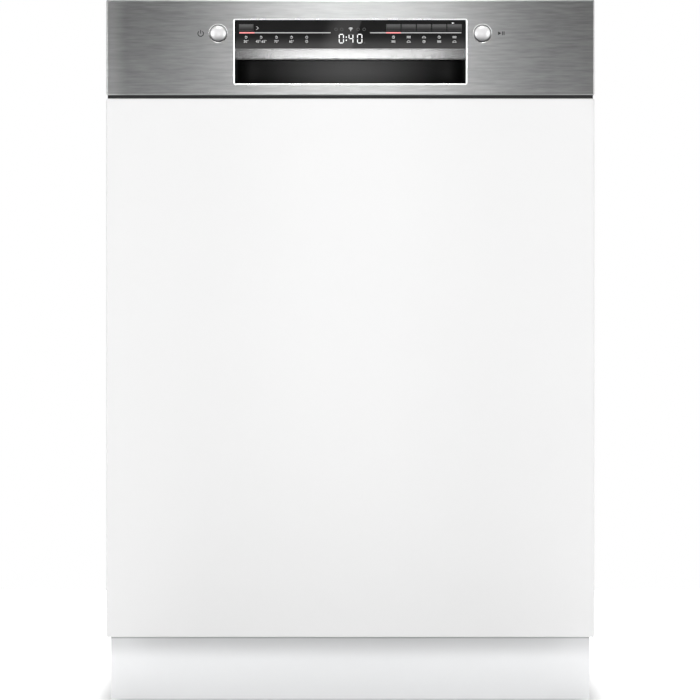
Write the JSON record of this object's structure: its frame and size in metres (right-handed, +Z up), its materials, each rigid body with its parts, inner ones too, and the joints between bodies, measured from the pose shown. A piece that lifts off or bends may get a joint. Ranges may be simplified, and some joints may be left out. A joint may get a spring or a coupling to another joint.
{
  "type": "built in dishwasher",
  "caption": "Dishwasher for a kitchen run, with a steel control fascia, white front, tipping door, sliding baskets and spinning spray arms.",
  "frame": {"origin": "on the floor under the middle of the overall width and depth", "axes": "+X to the right, the door faces -Y, +Z up"},
  "size_m": [0.598, 0.573, 0.867],
  "materials": {
    "white_lacquer": "satin white lacquer on board",
    "brushed_steel": "horizontally brushed stainless steel",
    "tub_steel": "bright rolled stainless steel",
    "zinc_sheet": "plain galvanised sheet",
    "hinge_steel": "pressed steel",
    "gloss_black": "clear over black",
    "pocket_black": "fine matt black",
    "silver_trim": "satin",
    "button_silver": "pearl satin",
    "key_grey": "grey",
    "grey_plastic": "moulded",
    "light_plastic": "moulded",
    "white_plastic": "moulded",
    "blue_plastic": "moulded",
    "plinth_white": "white laminate",
    "black_rubber": "matt",
    "grey_wire": "grey nylon coating on steel wire",
    "board_green": "circuit board"
  },
  "bodies": {
    "cabinet": {"tub": "tub_steel", "tub_seal": "black_rubber", "base_tray": "grey_plastic", "side_panels": "zinc_sheet", "rear_panel": "zinc_sheet", "top_panel": "zinc_sheet", "worktop_brackets": "hinge_steel", "plinth_panel": "plinth_white", "hinge_brackets": "hinge_steel", "door_springs": "hinge_steel", "sump": "light_plastic", "circulation_pump": "grey_plastic", "drain_pump": "grey_plastic", "water_softener": "white_plastic", "riser_pipe": "light_plastic", "filter_plate": "tub_steel", "inlet_valve": "white_plastic", "drain_outlet": "grey_plastic", "mains_terminal": "grey_plastic", "upper_rails_fixed": "tub_steel", "latch_striker": "hinge_steel"},
    "door": {"furniture_panel": "white_lacquer", "outer_door_panel": "zinc_sheet", "inner_door_panel": "tub_steel", "control_fascia": "brushed_steel", "fascia_carrier": "grey_plastic", "display_lens": "gloss_black", "handle_trim": "silver_trim", "handle_pocket": "pocket_black", "door_latch": "grey_plastic", "hinge_arms": "hinge_steel", "dispenser_body": "grey_plastic", "control_board": "board_green"},
    "upper_basket": {"upper_basket": "grey_wire", "upper_feed_pipe": "light_plastic"},
    "upper_rails": {"upper_rails_sliding": "tub_steel"},
    "lower_basket": {"lower_basket": "grey_wire"},
    "front_wheels": {"front_basket_wheels": "light_plastic"},
    "rear_wheels": {"rear_basket_wheels": "light_plastic"},
    "folding_tines": {"folding_tines": "grey_wire"},
    "cutlery_basket": {"cutlery_basket": "light_plastic"},
    "cup_shelf": {"cup_shelf": "light_plastic"},
    "lower_spray_arm": {"lower_spray_arm": "light_plastic"},
    "upper_spray_arm": {"upper_spray_arm": "light_plastic"},
    "top_spray_arm": {"top_spray_arm": "light_plastic"},
    "filter_cylinder": {"filter_cylinder": "light_plastic"},
    "salt_cap": {"salt_cap": "blue_plastic"},
    "front_left_foot": {"front_left_foot": "grey_plastic"},
    "front_right_foot": {"front_right_foot": "grey_plastic"},
    "rear_foot": {"rear_foot": "grey_plastic"},
    "dispenser_lid": {"dispenser_lid": "light_plastic"},
    "rinse_aid_cap": {"rinse_aid_cap": "light_plastic"},
    "power_button": {"power_button": "button_silver"},
    "start_button": {"start_button": "button_silver"},
    "program_key": {"program_key": "key_grey"},
    "option_key_1": {"option_key_1": "key_grey"},
    "option_key_2": {"option_key_2": "key_grey"},
    "option_key_3": {"option_key_3": "key_grey"},
    "option_key_4": {"option_key_4": "key_grey"},
    "option_key_5": {"option_key_5": "key_grey"}
  },
  "joints": [
    {"name": "door_hinge", "type": "hinge", "parent": "cabinet", "child": "door", "pos_m": [0, -0.255, 0.1], "axis": [1, 0, 0], "range_deg": [0, 90]},
    {"name": "upper_basket_slide", "type": "slide", "parent": "cabinet", "child": "upper_basket", "axis": [0, -1, 0], "range_m": [0, 0.45]},
    {"name": "upper_rails_slide", "type": "slide", "parent": "cabinet", "child": "upper_rails", "axis": [0, -1, 0], "range_m": [0, 0.225]},
    {"name": "lower_basket_slide", "type": "slide", "parent": "cabinet", "child": "lower_basket", "axis": [0, -1, 0], "range_m": [0, 0.48]},
    {"name": "front_wheels_roll", "type": "hinge", "parent": "lower_basket", "child": "front_wheels", "pos_m": [0, -0.065, 0.1636], "axis": [1, 0, 0], "continuous": true},
    {"name": "rear_wheels_roll", "type": "hinge", "parent": "lower_basket", "child": "rear_wheels", "pos_m": [0, 0.165, 0.1636], "axis": [1, 0, 0], "continuous": true},
    {"name": "tines_fold", "type": "hinge", "parent": "lower_basket", "child": "folding_tines", "pos_m": [0, 0.15, 0.2011], "axis": [-1, 0, 0], "range_deg": [0, 85]},
    {"name": "cutlery_basket_lift", "type": "slide", "parent": "lower_basket", "child": "cutlery_basket", "axis": [0, 0, 1], "range_m": [0, 0.1]},
    {"name": "cup_shelf_fold", "type": "hinge", "parent": "upper_basket", "child": "cup_shelf", "pos_m": [-0.2467, 0.03, 0.566], "axis": [0, -1, 0], "range_deg": [0, 80]},
    {"name": "lower_arm_spin", "type": "hinge", "parent": "cabinet", "child": "lower_spray_arm", "pos_m": [0, 0.03, 0.1623], "axis": [0, 0, 1], "continuous": true},
    {"name": "upper_arm_spin", "type": "hinge", "parent": "upper_basket", "child": "upper_spray_arm", "pos_m": [0, 0.03, 0.445], "axis": [0, 0, 1], "continuous": true},
    {"name": "top_arm_spin", "type": "hinge", "parent": "cabinet", "child": "top_spray_arm", "pos_m": [0, 0.03, 0.817], "axis": [0, 0, 1], "continuous": true},
    {"name": "filter_twist", "type": "hinge", "parent": "cabinet", "child": "filter_cylinder", "pos_m": [0.045, -0.01, 0.1476], "axis": [0, 0, 1], "range_deg": [0, 60]},
    {"name": "salt_cap_turn", "type": "hinge", "parent": "cabinet", "child": "salt_cap", "pos_m": [-0.19, 0.205, 0.1486], "axis": [0, 0, 1], "range_deg": [0, 120]},
    {"name": "dispenser_lid_slide", "type": "slide", "parent": "door", "child": "dispenser_lid", "axis": [0, 0, 1], "range_m": [0, 0.05]},
    {"name": "rinse_aid_cap_hinge", "type": "hinge", "parent": "door", "child": "rinse_aid_cap", "pos_m": [0.052, -0.2057, 0.424], "axis": [1, 0, 0], "range_deg": [0, 90]},
    {"name": "front_left_foot_height", "type": "slide", "parent": "cabinet", "child": "front_left_foot", "axis": [0, 0, 1], "range_m": [-0.008, 0.05]},
    {"name": "front_right_foot_height", "type": "slide", "parent": "cabinet", "child": "front_right_foot", "axis": [0, 0, 1], "range_m": [-0.008, 0.05]},
    {"name": "rear_foot_height", "type": "slide", "parent": "cabinet", "child": "rear_foot", "axis": [0, 0, 1], "range_m": [-0.008, 0.05]},
    {"name": "power_button_press", "type": "slide", "parent": "door", "child": "power_button", "axis": [0, 1, 0], "range_m": [0, 0.0015], "stiffness_N_per_m": 600, "springref_m": -0.001},
    {"name": "start_button_press", "type": "slide", "parent": "door", "child": "start_button", "axis": [0, 1, 0], "range_m": [0, 0.0015], "stiffness_N_per_m": 600, "springref_m": -0.001},
    {"name": "program_key_press", "type": "slide", "parent": "door", "child": "program_key", "axis": [0, 1, 0], "range_m": [0, 0.0007], "stiffness_N_per_m": 500, "springref_m": -0.001},
    {"name": "option_key_1_press", "type": "slide", "parent": "door", "child": "option_key_1", "axis": [0, 1, 0], "range_m": [0, 0.0007], "stiffness_N_per_m": 500, "springref_m": -0.001},
    {"name": "option_key_2_press", "type": "slide", "parent": "door", "child": "option_key_2", "axis": [0, 1, 0], "range_m": [0, 0.0007], "stiffness_N_per_m": 500, "springref_m": -0.001},
    {"name": "option_key_3_press", "type": "slide", "parent": "door", "child": "option_key_3", "axis": [0, 1, 0], "range_m": [0, 0.0007], "stiffness_N_per_m": 500, "springref_m": -0.001},
    {"name": "option_key_4_press", "type": "slide", "parent": "door", "child": "option_key_4", "axis": [0, 1, 0], "range_m": [0, 0.0007], "stiffness_N_per_m": 500, "springref_m": -0.001},
    {"name": "option_key_5_press", "type": "slide", "parent": "door", "child": "option_key_5", "axis": [0, 1, 0], "range_m": [0, 0.0007], "stiffness_N_per_m": 500, "springref_m": -0.001}
  ],
  "couplings": [
    {"joint": "upper_basket_slide", "follows": "door_hinge", "m_per_rad": 0.2864},
    {"joint": "upper_rails_slide", "follows": "door_hinge", "m_per_rad": 0.1432},
    {"joint": "lower_basket_slide", "follows": "door_hinge", "m_per_rad": 0.125},
    {"joint": "front_wheels_roll", "follows": "door_hinge", "ratio": 6.9444},
    {"joint": "rear_wheels_roll", "follows": "door_hinge", "ratio": 6.9444}
  ]
}
